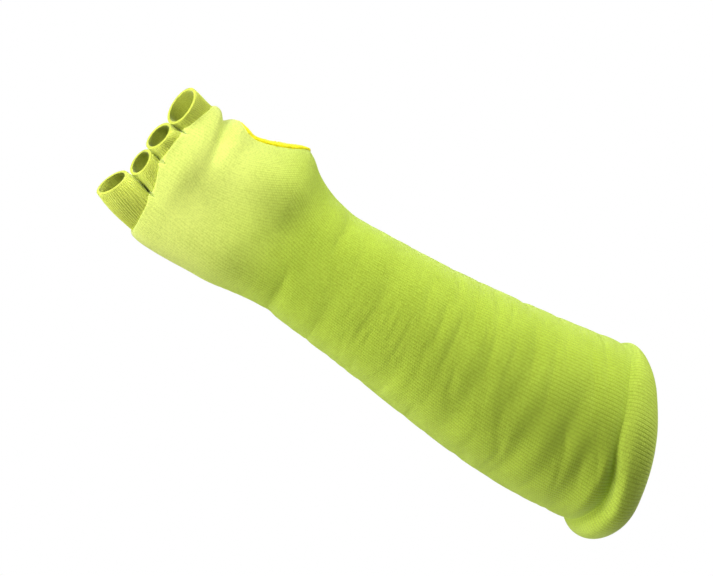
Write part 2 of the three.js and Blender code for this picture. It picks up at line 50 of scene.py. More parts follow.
# Cells of the knitted shell in the part's source, and how many parts each is divided into here
OUTER_FINGER_CELLS = 6
INNER_FINGER_CELLS = 4
WEB_CELLS = 4
PALM_CELLS = 2 * (OUTER_FINGER_CELLS + INNER_FINGER_CELLS)
ROUND_CELLS = 2 * PALM_CELLS
FINER = 4
ROUND = ROUND_CELLS * FINER
FINGER_CELLS = 2 * (INNER_FINGER_CELLS + WEB_CELLS)
FINGER_POINTS = FINGER_CELLS * FINER

# Rows of cells along the stubs of the fingers, the cuffs, the hem, and the shell over the palm, beside
# the thumb opening and up the forearm, and the rows of points that the opening parts
STUB_COURSES = 6
CUFF_COURSES = 30
HEM_ROWS = 60
ROOT_COURSES = 14
THUMB_COURSES = 50
FOREARM_COURSES = 220
OPENED = slice(ROOT_COURSES + 1, ROOT_COURSES + THUMB_COURSES)

# The cloth, its stitches, and the least angle that the shading shows as an edge
CLOTH = 1.6
WALES = 150
COURSE_PITCH = 1.15
SHARP_ANGLE = 55

# Courses, counted by the place that they would have on a straight sleeve
ROOT_COURSE = -94
LEVEL_PALM_COURSE = -56
WRIST_COURSE = -24
LEVEL_FOREARM_COURSE = 40
HEM_COURSE = 190


def table(columns, *rows):
    """Rows of numbers as named columns"""
    return dict(zip(columns.split(), np.array(rows, float).T))


# Sections across the sleeve: reach to the thumb side, the little finger side, the palm side and the
# back, and how square the section is, where 2 is an ellipse
SECTIONS = table(
    "x thumb little palm back square",
    (-106, 44.5, 33.5, 12.5, 12.0, 2.6),
    (-96, 45.5, 34.0, 14.5, 13.5, 2.6),
    (-88, 46.6, 36.2, 16.5, 14.5, 2.5),
    (-78, 46.2, 36.8, 18.5, 15.5, 2.4),
    (-68, 46.8, 36.7, 20.5, 16.5, 2.3),
    (-56, 49.5, 36.2, 22.5, 17.5, 2.2),
    (-46, 51.6, 36.0, 23.5, 18.5, 2.15),
    (-36, 53.2, 34.8, 24.0, 19.5, 2.1),
    (-30, 50.6, 33.9, 24.0, 20.0, 2.1),
    (-23, 45.2, 33.0, 23.8, 20.8, 2.1),
    (-15, 41.0, 32.4, 23.6, 21.6, 2.1),
    (-6, 38.0, 33.0, 23.6, 22.4, 2.1),
    (6, 35.8, 34.3, 24.4, 23.4, 2.1),
    (20, 36.2, 35.8, 26.0, 25.0, 2.05),
    (42, 37.4, 38.3, 29.0, 28.0, 2.0),
    (66, 39.0, 41.3, 32.5, 31.5, 2.0),
    (93, 41.9, 44.8, 36.5, 35.5, 2.0),
    (120, 45.4, 47.8, 40.0, 39.0, 2.0),
    (146, 49.1, 49.6, 42.5, 41.5, 2.0),
    (170, 53.2, 49.5, 44.0, 43.0, 2.0),
    (200, 56.0, 47.6, 45.0, 44.0, 2.0),
    (226, 57.5, 46.6, 45.0, 44.0, 2.0),
)
# Line of the finger roots by height, the heights of the three forks in it, and how far the cloth
# between two fingers reaches out past its ends
ROOT_LINE = table("height x", (-33, -91.5), (-11, -93.5), (6, -97.6), (25, -96.0), (46, -88.5))
FORK_HEIGHTS = np.array([25.0, 6.2, -11.4])
WEB_REACH = 1.6

# Groove beside the elbow hem, how far the cloth dips into it, width of the hem and how far it bulges,
# by angle from the thumb side, which the palm side and the back share
HEM_LINE = table(
    "angle groove dip width bulge",
    (-45, 178.5, 0.8, 20.0, 0.0),
    (0, 178.5, 0.8, 12.5, 0.0),
    (45, 178.5, 0.8, 20.0, 0.0),
    (75, 184.0, 1.4, 23.5, 0.0),
    (90, 188.0, 2.2, 24.0, 0.0),
    (110, 197.0, 3.8, 20.5, 0.5),
    (130, 203.0, 3.8, 19.5, 2.0),
    (150, 202.5, 2.0, 22.8, 3.2),
    (180, 202.5, 1.0, 25.0, 3.0),
    (210, 202.5, 2.0, 22.8, 3.2),
)
GROOVE_REACH = 4.0
# How far before the groove the direction that the hem runs on in is taken
HEM_RUN_UP = 12

# Profile of the turned-in hem: share of its width, height over the plain section and share of the
# groove's depth that it lies in, first down the outside and then back along the inside
HEM_PROFILE = table(
    "along rise sunk",
    (0.0, 0.0, 1.0),
    (0.02, 0.03, 0.97),
    (0.07, 0.6, 0.7),
    (0.13, 1.4, 0.35),
    (0.3, 2.2, 0.0),
    (0.52, 1.7, 0.0),
    (0.74, 0.1, 0.0),
    (0.92, -2.4, 0.0),
    (1.0, -5.2, 0.0),
    (0.93, -7.4, 0.0),
    (0.76, -7.8, 0.0),
    (0.4, -6.0, 0.0),
    (0.0, -4.2, 0.6),
)

# Thumb opening: courses of its two ends, angles by which its edges give way on the palm side and the
# back, how much wider it is at its finger end, and how far round the sleeve and how fast that eases off
OPENING = {"finger": -81, "elbow": -33.5, "palm": 34, "back": 32, "skew": 0.2, "spread": 125, "ease": 1.6}
OPENING_MIDDLE = (OPENING["finger"] + OPENING["elbow"]) / 2
OPENING_REACH = (OPENING["elbow"] - OPENING["finger"]) / 2

# Bound edge of the opening, how far it laps over the cloth, and where it turns in at the finger end
BINDING = {"width": 2.9, "depth": 3.0, "lap": 0.4, "stations": 360}
BINDING_TUCK = {"x": -70, "run": 6, "depth": 1.2, "back": 1.0}
BINDING_CORE = {"inset": 0.3, "sides": 12}
# Thread wound round it: its turns stand this far apart, and a few of them at random are slack
BINDING_THREAD = {"radius": 0.33, "sides": 6, "inset": 0.25, "pitch": 0.8, "steps": 14}
BINDING_SLACK = {"seed": 3, "rarity": 5, "most": 0.5}
# Stitch coordinate from one station of the core or the thread to the next
BINDING_COURSES = 0.2
# A direction that no path of thread takes
OFF_PATH = (0.31, 0.54, 0.78)

# Round swellings (plus) and hollows (minus) of the palm side (-1) or of the back (1)
SWELLINGS = table(
    "side x height along across rise",
    (-1, -50, 24, 22, 15, 5.0),
    (-1, -50, -22, 24, 11, 3.0),
    (-1, -66, 2, 20, 12, -3.5),
    (-1, -73, 38, 6, 13, 2.2),
    (-1, -88, 14, 7, 26, 1.6),
    (1, -88, 14, 9, 24, 2.0),
    (1, -60, 6, 26, 20, 2.0),
)
# Part of the half way round, as a sine, over which swellings and folds fade at the sleeve's sides
SIDE_BLEND = 0.35

# Valley folds in the palm side: two ends, depth, half width and share of the depth lost on the way
PALM_FOLDS = table(
    "from_x from_height to_x to_height depth reach fade",
    (-16, 36, -32, -6, 1.0, 9.0, 0.6),
)

# Creases round the sleeve: place, middle angle and half reach round it, depth (minus: a ridge), half
# width and lean
CREASES = table(
    "x angle reach depth width lean",
    (-81.4, 12, 78, 5.0, 3.4, 4),
    (-10, 150, 60, 0.9, 4.0, 5),
    (4, 40, 50, 0.7, 5.0, -4),
    (16, 120, 60, 0.7, 5.0, 4),
    (38, 80, 60, 0.7, 6.0, 3),
    (62, 140, 55, 0.8, 6.0, -3),
    (84, 70, 60, 0.8, 6.0, 4),
    (104, 120, 70, 1.1, 6.5, 4),
    (124, 75, 60, 1.1, 6.0, 3),
    (143, 130, 65, 1.3, 6.0, 4),
    (160, 95, 60, 1.2, 5.5, 5),
    (179, 125, 50, 1.2, 4.5, 7),
    (191, 122, 46, -1.4, 3.6, 7),
    (20, 265, 70, 0.8, 6.0, -3),
    (58, 285, 70, 0.8, 6.0, 4),
    (96, 260, 70, 1.0, 6.5, 3),
    (132, 280, 70, 1.2, 6.0, -4),
    (164, 255, 60, 1.3, 5.5, 4),
)

# Fine ripples across the sleeve, scattered over the courses: their number and their ranges, and the
# share of their depth that they have at the wrist and how far on they have all of it
RIPPLES = {
    "seed": 7,
    "count": 280,
    "course": (-40, 184),
    "reach": (14, 40),
    "depth": (0.14, 0.5),
    "width": (1.2, 2.6),
    "lean": (0.5, 4.0),
    "calm": 0.35,
    "rise": 140,
}

# Finger cuffs: the free end's middle, its half height (high) and half depth (deep), how far the finger
# points up and curls to the palm side, and how far the cuff swells between its ends
CUFF_NAMES = ("index_cuff", "middle_cuff", "ring_cuff", "little_cuff")
CUFFS = table(
    "x y z high deep up curl swell",
    (-105.6, -6.0, 36.7, 10.8, 11.0, 2, 19, 0.0),
    (-107.6, -5.0, 17.0, 8.4, 10.5, 10, 15, 0.2),
    (-108.6, -5.5, 0.3, 7.6, 10.0, 4, 15, 0.2),
    (-116.2, -8.0, -16.6, 9.3, 9.6, 22, 14, 1.0),
)

# Stub of each finger root: its length, how far its edge curls in, and how much of both the stitches cover
ROOT_STUB = 2.2
ROOT_CURL = 1.1
STUB_COVER = 0.8
# How far the cuff starts inside that edge, and the share of its length that it tucks in there
CUFF_STEP = 0.4
CUFF_TUCK = 0.1
# Share of those steps that a finger has where it faces its neighbour, how far its cuff swells there
# instead, and over which part of a turn from facing to free that changes
WEB_SHARE = 0.2
WEB_FILL = 0.28
WEB_TURN = {"start": 0.1, "run": 0.6, "free_run": 0.5}

# Ribs of the cuffs, and the bound edge at their free end
RIB = {"pitch": 1.15, "points": 6, "depth": 0.3, "bluntness": 0.8}
CUFF_EDGE = {"reach": 0.06, "rise": 0.25, "flatter": 0.7}


def bell(distance, width):
    """One in the middle, and falling off smoothly on both sides"""
    return np.exp(-((distance / width) ** 2))


def smooth_step(share):
    """A share that starts and ends softly, held between 0 and 1"""
    held = np.clip(share, 0, 1)
    return held * held * (3 - 2 * held)


def from_table(rows, key, place, column):
    """Values of one column of a table, on a smooth curve through its rows"""
    keys = rows[key]
    values = rows[column]
    last = len(keys) - 1
    low = np.maximum(np.arange(last + 1) - 1, 0)
    high = np.minimum(np.arange(last + 1) + 1, last)
    slopes = (values[high] - values[low]) / (keys[high] - keys[low])
    row = np.searchsorted(keys[1:last], place)
    span = keys[row + 1] - keys[row]
    share = np.clip((place - keys[row]) / span, 0, 1)
    rise = values[row + 1] - values[row]
    start = slopes[row] * span - rise
    end = rise - slopes[row + 1] * span
    return values[row] + rise * share + share * (1 - share) * (start * (1 - share) + end * share)


def section(x, column):
    """Value of one column of the sections, at a place along the sleeve"""
    return from_table(SECTIONS, "x", x, column)


def hem_line(angle, column):
    """Value of one column of the hem's line, the same on the palm side and the back"""
    return from_table(HEM_LINE, "angle", np.minimum(angle, 360 - angle), column)


def section_span(x):
    """Height of the middle of a section, and its half height"""
    middle = (section(x, "thumb") - section(x, "little")) / 2
    reach = (section(x, "thumb") + section(x, "little")) / 2
    return middle, reach


def fork_angles():
    """Angles from the thumb side at which the fingers part"""
    x = from_table(ROOT_LINE, "height", FORK_HEIGHTS, "x")
    middle, reach = section_span(x)
    share = (FORK_HEIGHTS - middle) / reach
    return np.degrees(np.arccos(np.sign(share) * np.abs(share) ** (section(x, "square") / 2)))


FORK_CELLS = OUTER_FINGER_CELLS + INNER_FINGER_CELLS * np.arange(len(FORK_HEIGHTS))
ROOT_CELLS = np.array([0, *FORK_CELLS, PALM_CELLS])
ROOT_ANGLES = np.array([0, *fork_angles(), 180])


def cell_angle(cells, course):
    """Angle of a place that lies a number of cells from the thumb side"""
    parted = np.interp(cells, ROOT_CELLS, ROOT_ANGLES)
    share = smooth_step((WRIST_COURSE - course) / (WRIST_COURSE - ROOT_COURSE))
    even = 180 * cells / PALM_CELLS
    return even + (parted - even) * share


def opened_angle(angle, course, half_width):
    """Angle after the cloth has given way to the thumb opening"""
    along = (course - OPENING_MIDDLE) / OPENING_REACH
    share = np.sqrt(np.maximum(1 - along**2, 0)) * (1 - OPENING["skew"] * along)
    room = np.maximum(1 - angle / OPENING["spread"], 0)
    return angle + half_width * share * room ** OPENING["ease"]


def course_x(course, angle, height):
    """Place along the sleeve of a course"""
    root_shift = from_table(ROOT_LINE, "height", height, "x") - ROOT_COURSE
    hem_shift = hem_line(angle, "groove") - HEM_COURSE
    root_share = smooth_step((LEVEL_PALM_COURSE - course) / (LEVEL_PALM_COURSE - ROOT_COURSE))
    hem_share = smooth_step((course - LEVEL_FOREARM_COURSE) / (HEM_COURSE - LEVEL_FOREARM_COURSE))
    return course + root_shift * root_share + hem_shift * hem_share


def section_height(x, half):
    """Height of a place on a section, at an angle of half the way round"""
    middle, reach = section_span(x)
    cosine = np.cos(np.radians(half))
    return middle + reach * np.sign(cosine) * np.abs(cosine) ** (2 / section(x, "square"))


def rows_of(columns):
    """The rows of a table as dictionaries"""
    names = list(columns)
    return [dict(zip(names, row)) for row in np.array([columns[name] for name in names]).T]


def swelling(x, height, side):
    """How far the round swellings lift the cloth"""
    rise = 0
    for row in rows_of(SWELLINGS):
        spot = bell(x - row["x"], row["along"]) * bell(height - row["height"], row["across"])
        rise = rise + np.where(side == row["side"], row["rise"] * spot, 0)
    return rise


def fold_depth(x, height, side):
    """Depth of the valley folds in the palm side"""
    depth = 0
    for fold in rows_of(PALM_FOLDS):
        run_x = fold["to_x"] - fold["from_x"]
        run_height = fold["to_height"] - fold["from_height"]
        from_x = x - fold["from_x"]
        from_height = height - fold["from_height"]
        along = np.clip((from_x * run_x + from_height * run_height) / (run_x**2 + run_height**2), 0, 1)
        away = np.hypot(from_x - run_x * along, from_height - run_height * along)
        depth = depth + fold["depth"] * bell(away, fold["reach"]) * (1 - fold["fade"] * along)
    return np.where(side < 0, depth, 0)


def turn_from(angle, middle):
    """Turn from one angle to another, at most half of a full one"""
    return (angle - middle + 540) % 360 - 180


def crease_depth(x, angle):
    """Depth of the creases that run round the sleeve"""
    depth = 0
    for crease in rows_of(CREASES):
        share = turn_from(angle, crease["angle"]) / crease["reach"]
        across = x - crease["x"] - crease["lean"] * share
        fade = np.maximum(1 - share**2, 0) ** 2
        depth = depth + crease["depth"] * bell(across, crease["width"]) * fade
    return depth


def ripple_depth(course, angle):
    """Depth of the fine ripples, which follow the courses"""
    chance = np.random.default_rng(RIPPLES["seed"])
    depth = 0
    for _ in range(RIPPLES["count"]):
        middle = chance.uniform(*RIPPLES["course"])
        turn = chance.uniform(0, 360)
        reach = chance.uniform(*RIPPLES["reach"])
        deep = chance.uniform(*RIPPLES["depth"])
        width = chance.uniform(*RIPPLES["width"])
        lean = chance.uniform(*RIPPLES["lean"])
        share = turn_from(angle, turn) / reach
        fade = np.maximum(1 - share**2, 0) ** 2
        depth = depth + deep * bell(course - middle - lean * share, width) * fade
    risen = smooth_step((course - RIPPLES["course"][0]) / RIPPLES["rise"])
    return depth * (RIPPLES["calm"] + (1 - RIPPLES["calm"]) * risen)


def relief(course, x, angle, height, half, side):
    """How far the cloth stands out of its section"""
    blend = smooth_step(np.sin(np.radians(half)) / SIDE_BLEND)
    sided = swelling(x, height, side) - fold_depth(x, height, side)
    groove = hem_line(angle, "dip") * bell(x - hem_line(angle, "groove"), GROOVE_REACH)
    return sided * blend - groove - crease_depth(x, angle) - ripple_depth(course, angle)


def skin(cells, course, side, folded=True):
    """Points of the sleeve's outside, at cells from the thumb side, on the palm side (-1) or back (1)"""
    half_width = np.where(side < 0, OPENING["palm"], OPENING["back"])
    half = opened_angle(cell_angle(cells, course), course, half_width)
    angle = np.where(side < 0, half, 360 - half)
    x = course_x(course, angle, section_height(course, half))
    height = section_height(x, half)
    sine = np.maximum(np.sin(np.radians(half)), 0)
    depth = np.where(side < 0, section(x, "palm"), section(x, "back")) * sine ** (2 / section(x, "square"))
    rise = relief(course, x, angle, height, half, side) if folded else 0 * x
    return np.stack([x, side * (depth + sine * rise), height + np.cos(np.radians(half)) * rise], -1)


def body_courses():
    """Courses of the body, from the finger roots to the groove beside the hem"""
    roots = np.linspace(ROOT_COURSE, OPENING["finger"], ROOT_COURSES + 1)[:-1]
    turn = np.pi * np.arange(THUMB_COURSES + 1) / THUMB_COURSES
    thumb = OPENING_MIDDLE - OPENING_REACH * np.cos(turn)
    forearm = np.linspace(OPENING["elbow"], HEM_COURSE, FOREARM_COURSES + 1)[1:]
    return np.concatenate([roots, thumb, forearm])


class Cloth:
    """Points and four-cornered cells of knitted cloth, with its stitch coordinates"""

    def __init__(self):
        self.points = np.zeros((0, 3))
        self.cells = []
        self.stitches = []
        self.set_normals = {}

    def add(self, points):
        """Adds points and returns their numbers, in the same arrangement"""
        first = len(self.points)
        self.points = np.concatenate([self.points, points.reshape(-1, 3)])
        return first + np.arange(points[..., 0].size).reshape(points.shape[:-1])

    def join(self, numbers, stitches):
        """Cells between the rows and columns of a grid of point numbers"""
        corners = [(0, 0), (0, 1), (1, 1), (1, 0)]
        rows, columns = numbers.shape
        for source, kept in ((numbers, self.cells), (stitches, self.stitches)):
            parts = [source[r : rows - 1 + r, c : columns - 1 + c] for r, c in corners]
            kept.append(np.stack(parts, 2).reshape(-1, 4, *source.shape[2:]))

    def normals(self):
        """Directions out of the cloth at its points"""
        cells = np.concatenate(self.cells)
        corners = self.points[cells]
        normal = np.cross(corners[:, 1] - corners[:, 3], corners[:, 2] - corners[:, 0])
        sums = np.zeros_like(self.points)
        for corner in range(4):
            np.add.at(sums, cells[:, corner], normal)
        for number, direction in self.set_normals.items():
            sums[number] = direction
        return unit(sums)

    def edges(self):
        """Edges that only one cell has"""
        cells = np.concatenate(self.cells)
        edges = np.concatenate([np.stack([cells[:, i], cells[:, (i + 1) % 4]], 1) for i in range(4)])
        edges = edges[edges[:, 0] != edges[:, 1]]
        keys = edges[:, 0] * len(self.points) + edges[:, 1]
        reverse = edges[:, 1] * len(self.points) + edges[:, 0]
        return edges[~np.isin(keys, reverse)]

    def mesh(self, name, thickness):
        """Mesh of the cloth with its inside and its edges"""
        normals = self.normals()
        count = len(self.points)
        points = np.concatenate([self.points, self.points - normals * thickness])
        outer = np.concatenate(self.cells)
        stitches = np.concatenate(self.stitches)
        edges = self.edges()
        rims = np.stack([edges[:, 1], edges[:, 0], edges[:, 0] + count, edges[:, 1] + count], 1)
        cells = np.concatenate([outer, outer[:, ::-1] + count, rims])
        flat = np.zeros((len(rims), 4, 2))
        return build_mesh(name, points, cells, np.concatenate([stitches, stitches[:, ::-1], flat]))


def unit(vectors):
    """Vectors of length one"""
    return vectors / np.maximum(np.linalg.norm(vectors, axis=-1, keepdims=True), TINY)


def build_mesh(name, points, cells, stitches):
    """Blender object made of four-cornered cells, with stitch coordinates at each corner"""
    mesh = bpy.data.meshes.new(name)
    mesh.from_pydata((points * MM).tolist(), [], [drop_repeats(cell) for cell in cells.tolist()])
    layer = mesh.uv_layers.new(name="knit")
    kept = np.concatenate([first_seen(cell) for cell in cells.tolist()])
    layer.data.foreach_set("uv", stitches.reshape(-1, 2)[kept].astype(np.float32).ravel())
    mesh.validate()
    mesh.polygons.foreach_set("use_smooth", [True] * len(mesh.polygons))
    mesh.set_sharp_from_angle(angle=math.radians(SHARP_ANGLE))
    piece = bpy.data.objects.new(name, mesh)
    bpy.context.scene.collection.objects.link(piece)
    return piece


def first_seen(cell):
    """Which corners of a cell don't repeat an earlier one"""
    return [corner not in cell[:place] for place, corner in enumerate(cell)]


def drop_repeats(cell):
    """The corners of a cell without the ones that repeat an earlier one"""
    return [corner for place, corner in enumerate(cell) if corner not in cell[:place]]


def closed(grid):
    """A grid of rings with its first column repeated at the end"""
    return np.concatenate([grid, grid[:, :1]], 1)


def stitch_grid(across, along):
    """Stitch coordinates of a grid, from its wales across and its courses along"""
    return np.stack(np.broadcast_arrays(across, along), -1)


def places_round():
    """Cells from the thumb side, and side of the sleeve, of the points round it"""
    place = np.arange(ROUND) / FINER
    side = np.where(place <= PALM_CELLS, -1, 1)
    return np.where(side < 0, place, ROUND_CELLS - place), side


def body_cloth():
    """The body's outside, with the numbers of its rows of points and of the opening's back edge"""
    cloth = Cloth()
    courses = body_courses()
    cells, side = places_round()
    ring = cloth.add(skin(cells[None, :], courses[:, None], side[None, :]))
    back_lip = ring[:, 0].copy()
    back_lip[OPENED] = cloth.add(skin(0.0, courses[OPENED], np.array(1)))
    numbers = np.concatenate([ring, back_lip[:, None]], 1)
    wales = np.arange(ROUND + 1) * WALES / ROUND
    cloth.join(numbers, stitch_grid(wales[None, :], courses[:, None] / COURSE_PITCH))
    return cloth, ring, back_lip


def web_line(cloth, root, fork):
    """Points of the line between two fingers, from the palm side to the back"""
    front = root[fork * FINER]
    rear = root[ROUND - fork * FINER]
    share = np.arange(1, WEB_CELLS * FINER)[:, None] / (WEB_CELLS * FINER)
    points = cloth.points[front] + (cloth.points[rear] - cloth.points[front]) * share
    points[:, 0] -= WEB_REACH * np.sin(np.pi * share[:, 0])
    return np.array([front, *cloth.add(points), rear])


def finger_loops(cloth, root):
    """Loops of points round the four finger roots, each with the angle of its first point"""
    webs = [web_line(cloth, root, fork) for fork in FORK_CELLS]
    forks = ROOT_CELLS * FINER
    loops = []
    for finger in range(len(CUFF_NAMES)):
        palm_run = root[np.arange(forks[finger], forks[finger + 1] + 1)]
        back_run = root[np.arange(-forks[finger + 1], -forks[finger] + 1) % ROUND]
        parts = [palm_run, back_run[1:]]
        if finger < len(webs):
            parts = [palm_run, webs[finger][1:], back_run[1:]]
        if finger > 0:
            parts.append(webs[finger - 1][::-1][1:])
        loop = np.concatenate(parts)[:-1]
        loops.append((loop, 180 * WEB_CELLS / FINGER_CELLS if finger > 0 else 0))
    return loops


def cuff_end(row, angle):
    """Points of a finger's free end at angles round it"""
    up = math.radians(row["up"])
    curl = math.radians(row["curl"])
    out = np.array([-math.cos(up), 0, math.sin(up)])
    upward = np.array([math.sin(up), 0, math.cos(up)])
    palmward = np.array([0, -math.cos(curl), 0]) - out * math.sin(curl)
    middle = np.array([row["x"], row["y"], row["z"]])
    turn = np.radians(angle)[:, None]
    return middle + upward * row["high"] * np.cos(turn) + palmward * row["deep"] * np.sin(turn)


def outwards(row, axis):
    """Directions out from the middle of a loop, square to an axis"""
    outward = row - row.mean(0)
    return unit(outward - np.outer(outward @ axis, axis))


def rounded(loop, waves=3):
    """A loop without its sharp corners"""
    spectrum = np.fft.fft(loop, axis=0)
    spectrum[waves + 1 : -waves] = 0
    return np.fft.ifft(spectrum, axis=0).real


def on_loop(loop, stations, place):
    """Values at places on a closed loop, between those at its stations"""
    return np.stack([np.interp(place, stations, [*part, part[0]]) for part in loop.T], 1)


def resampled(loop, count):
    """A loop at another number of points"""
    return on_loop(loop, np.arange(len(loop) + 1), np.arange(count) * len(loop) / count)


def hem_end(cloth, rim):
    """Where the hem begins on the plain section, the directions that it has, and how deep the rim lies"""
    cells, side = places_round()
    start = skin(cells, np.full(ROUND, float(HEM_COURSE)), side, folded=False)
    before = skin(cells, np.full(ROUND, float(HEM_COURSE - HEM_RUN_UP)), side, folded=False)
    along = unit(start - before)
    out = unit(start * [0, 1, 1])
    out = unit(out - along * (out * along).sum(1, keepdims=True))
    for number, direction in zip(rim, out):
        cloth.set_normals[number] = direction
    sunk = ((start - cloth.points[rim]) * out).sum(1)
    return {"start": start, "along": along, "out": out, "sunk": sunk}


def step_share(index, loop, axis):
    """Share of the steps inwards that each point of a finger's loop has, least between two fingers"""
    outward = outwards(loop, axis)
    facing = smooth_step((np.abs(outward[:, 1]) - WEB_TURN["start"]) / WEB_TURN["run"])
    free_side = {0: 1, len(CUFF_NAMES) - 1: -1}.get(index, 0)
    free = smooth_step(free_side * outward[:, 2] / WEB_TURN["free_run"])
    return WEB_SHARE + (1 - WEB_SHARE) * np.maximum(facing, free)


def finger_stub(cloth, index, loop, first):
    """Adds the stub of one finger root to the cloth, and says how the finger's cuff goes on from it"""
    row = rows_of(CUFFS)[index]
    roots = cloth.points[loop]
    ends = cuff_end(row, first + 360 * np.arange(FINGER_POINTS) / FINGER_POINTS)
    axis = unit(ends.mean(0) - roots.mean(0))
    share = step_share(index, roots, axis)[:, None]
    outward = outwards(roots, axis)
    cut = np.minimum(((rounded(roots) - roots) * outward).sum(1, keepdims=True), 0)
    soft = roots + outward * cut * share
    next_course = cloth.points[(loop + ROUND) % len(cloth.points)]
    run_on = np.where(loop[:, None] < ROUND, unit(roots - next_course), axis)
    stub = []
    for step in range(1, STUB_COURSES + 1):
        length = step / STUB_COURSES
        ahead = run_on * (length - length**2 / 2) + axis * length**2 / 2
        inset = ROOT_CURL * (1 - math.sqrt(1 - length**2)) * share
        stub.append(roots + (soft - roots) * length + ahead * ROOT_STUB - outward * inset)
    numbers = np.concatenate([cloth.add(np.array(stub))[::-1], loop[None, :]])
    wales = (np.arange(FINGER_POINTS + 1) + ROOT_CELLS[index] * FINER) * WALES / ROUND
    covered = (ROOT_STUB + ROOT_CURL) * np.linspace(STUB_COVER, 0, STUB_COURSES + 1)
    courses = (ROOT_COURSE - covered) / COURSE_PITCH
    cloth.join(closed(numbers), stitch_grid(wales[None, :], courses[:, None]))
    for number, direction in zip(numbers[0], outward):
        cloth.set_normals[number] = direction
    start = soft + (run_on - axis) * ROOT_STUB / 2
    return {"roots": start, "ends": ends, "axis": axis, "swell": row["swell"], "share": share}


def build_body():
    """The body's cloth with its finger stubs, and what its neighbours need to know of it"""
    cloth, ring, back_lip = body_cloth()
    loops = finger_loops(cloth, ring[0])
    fingers = [finger_stub(cloth, index, loop, first) for index, (loop, first) in enumerate(loops)]
    end = hem_end(cloth, ring[-1])
    palm_lip = ring[OPENED.start - 1 : OPENED.stop + 1, 0]
    lips = np.concatenate([palm_lip[::-1], back_lip[OPENED]])
    return {"cloth": cloth, "fingers": fingers, "end": end, "lips": lips}


def cuff_rows(cuff, axis, swell, lengths):
    """Rows of points of a ribbed cuff, at shares of its length"""
    turn = np.arange(len(cuff["roots"])) / RIB["points"]
    rib = np.abs(np.sin(np.pi * turn))[:, None] ** RIB["bluntness"]
    start = cuff["roots"] + axis * ROOT_STUB
    share = cuff["share"]
    rows = []
    for length in lengths:
        row = start + (cuff["ends"] - start) * length
        inset = (ROOT_CURL + CUFF_STEP) * share * (1 - smooth_step(length))
        swollen = swell * math.sin(math.pi * max(length, 0))
        edge = bell(1 - length, CUFF_EDGE["reach"])
        ribbed = RIB["depth"] * rib * (1 - CUFF_EDGE["flatter"] * edge) + CUFF_EDGE["rise"] * edge
        rise = ribbed * share + WEB_FILL * (1 - share)
        rows.append(row - outwards(row, axis) * (inset - swollen - rise))
    return np.array(rows)


def cuff_piece(name, finger):
    """Ribbed cuff of one finger, with its ribs and its bound end"""
    axis = finger["axis"]
    rim = np.linalg.norm(np.diff(closed(finger["ends"][None])[0], axis=0), axis=1).sum()
    count = round(rim / RIB["pitch"]) * RIB["points"]
    cuff = {key: resampled(finger[key], count) for key in ("roots", "ends", "share")}
    lengths = np.linspace(-CUFF_TUCK, 1, CUFF_COURSES + 1)
    cloth = Cloth()
    numbers = cloth.add(cuff_rows(cuff, axis, finger["swell"], lengths)[::-1])
    reach = np.linalg.norm(cuff["ends"].mean(0) - cuff["roots"].mean(0))
    courses = -lengths[::-1] * reach / COURSE_PITCH
    wales = np.arange(count + 1) / RIB["points"]
    cloth.join(closed(numbers), stitch_grid(wales[None, :], courses[:, None]))
    for row in (0, -1):
        for number, outward in zip(numbers[row], outwards(cloth.points[numbers[row]], axis)):
            cloth.set_normals[number] = outward
    return cloth.mesh(name, CLOTH)


def hem_piece(body):
    """Turned-in hem round the elbow end"""
    end = body["end"]
    angle = 360 * np.arange(ROUND) / ROUND
    width = hem_line(angle, "width")
    bulge = hem_line(angle, "bulge")
    knots = np.arange(len(HEM_PROFILE["along"]), dtype=float)
    curve = {"knot": knots, **HEM_PROFILE}
    place = np.linspace(0, knots[-1], HEM_ROWS + 1)
    columns = ("along", "rise", "sunk")
    share, rise, sunk = (from_table(curve, "knot", place, column)[:, None] for column in columns)
    out = rise - sunk * end["sunk"] + bulge * np.sin(np.pi * share)
    outer = end["start"] + end["along"] * (share * width)[..., None] + end["out"] * out[..., None]
    cloth = Cloth()
    numbers = cloth.add(outer)
    lengths = np.linalg.norm(np.diff(outer, axis=0), axis=2).mean(1)
    courses = np.concatenate([[0], np.cumsum(lengths)]) / COURSE_PITCH
    wales = np.arange(ROUND + 1) * WALES / ROUND
    cloth.join(closed(numbers), stitch_grid(wales[None, :], courses[:, None]))
    for number, direction in zip(numbers[0], end["out"]):
        cloth.set_normals[number] = direction
    return cloth.mesh("turned_hem", CLOTH)


def tube(path, radius, sides):
    """Points of a tube round a closed path, as a grid of stations and sides"""
    run = unit(np.roll(path, -1, 0) - np.roll(path, 1, 0))
    first = unit(np.cross(run, np.tile(OFF_PATH, (len(path), 1))))
    second = np.cross(run, first)
    turn = 2 * np.pi * np.arange(sides) / sides
    return path[:, None] + radius * (
        first[:, None] * np.cos(turn)[None, :, None] + second[:, None] * np.sin(turn)[None, :, None]
    )


def binding_line(body):
    """Middle of the bound edge at even stations, its directions into the opening and out, and its length"""
    points = body["cloth"].points[body["lips"]]
    normals = body["cloth"].normals()[body["lips"]]
    lengths = np.linalg.norm(np.diff(closed(points[None])[0], axis=0), axis=1)
    total = lengths.sum()
    stations = np.concatenate([[0], np.cumsum(lengths)])
    wanted = np.arange(BINDING["stations"]) * total / BINDING["stations"]
    loop = on_loop(points, stations, wanted)
    out = on_loop(normals, stations, wanted)
    run = unit(np.roll(loop, -2, 0) - np.roll(loop, 2, 0))
    out = unit(out - run * (out * run).sum(1, keepdims=True))
    opening = np.cross(run, out)
    turned_in = smooth_step((BINDING_TUCK["x"] - loop[:, :1]) / BINDING_TUCK["run"])
    middle = loop - out * (CLOTH / 2 + BINDING_TUCK["depth"] * turned_in)
    back = BINDING_TUCK["back"] * turned_in
    middle = middle + opening * (BINDING["width"] / 2 - BINDING["lap"] - back)
    return middle, opening, out, total


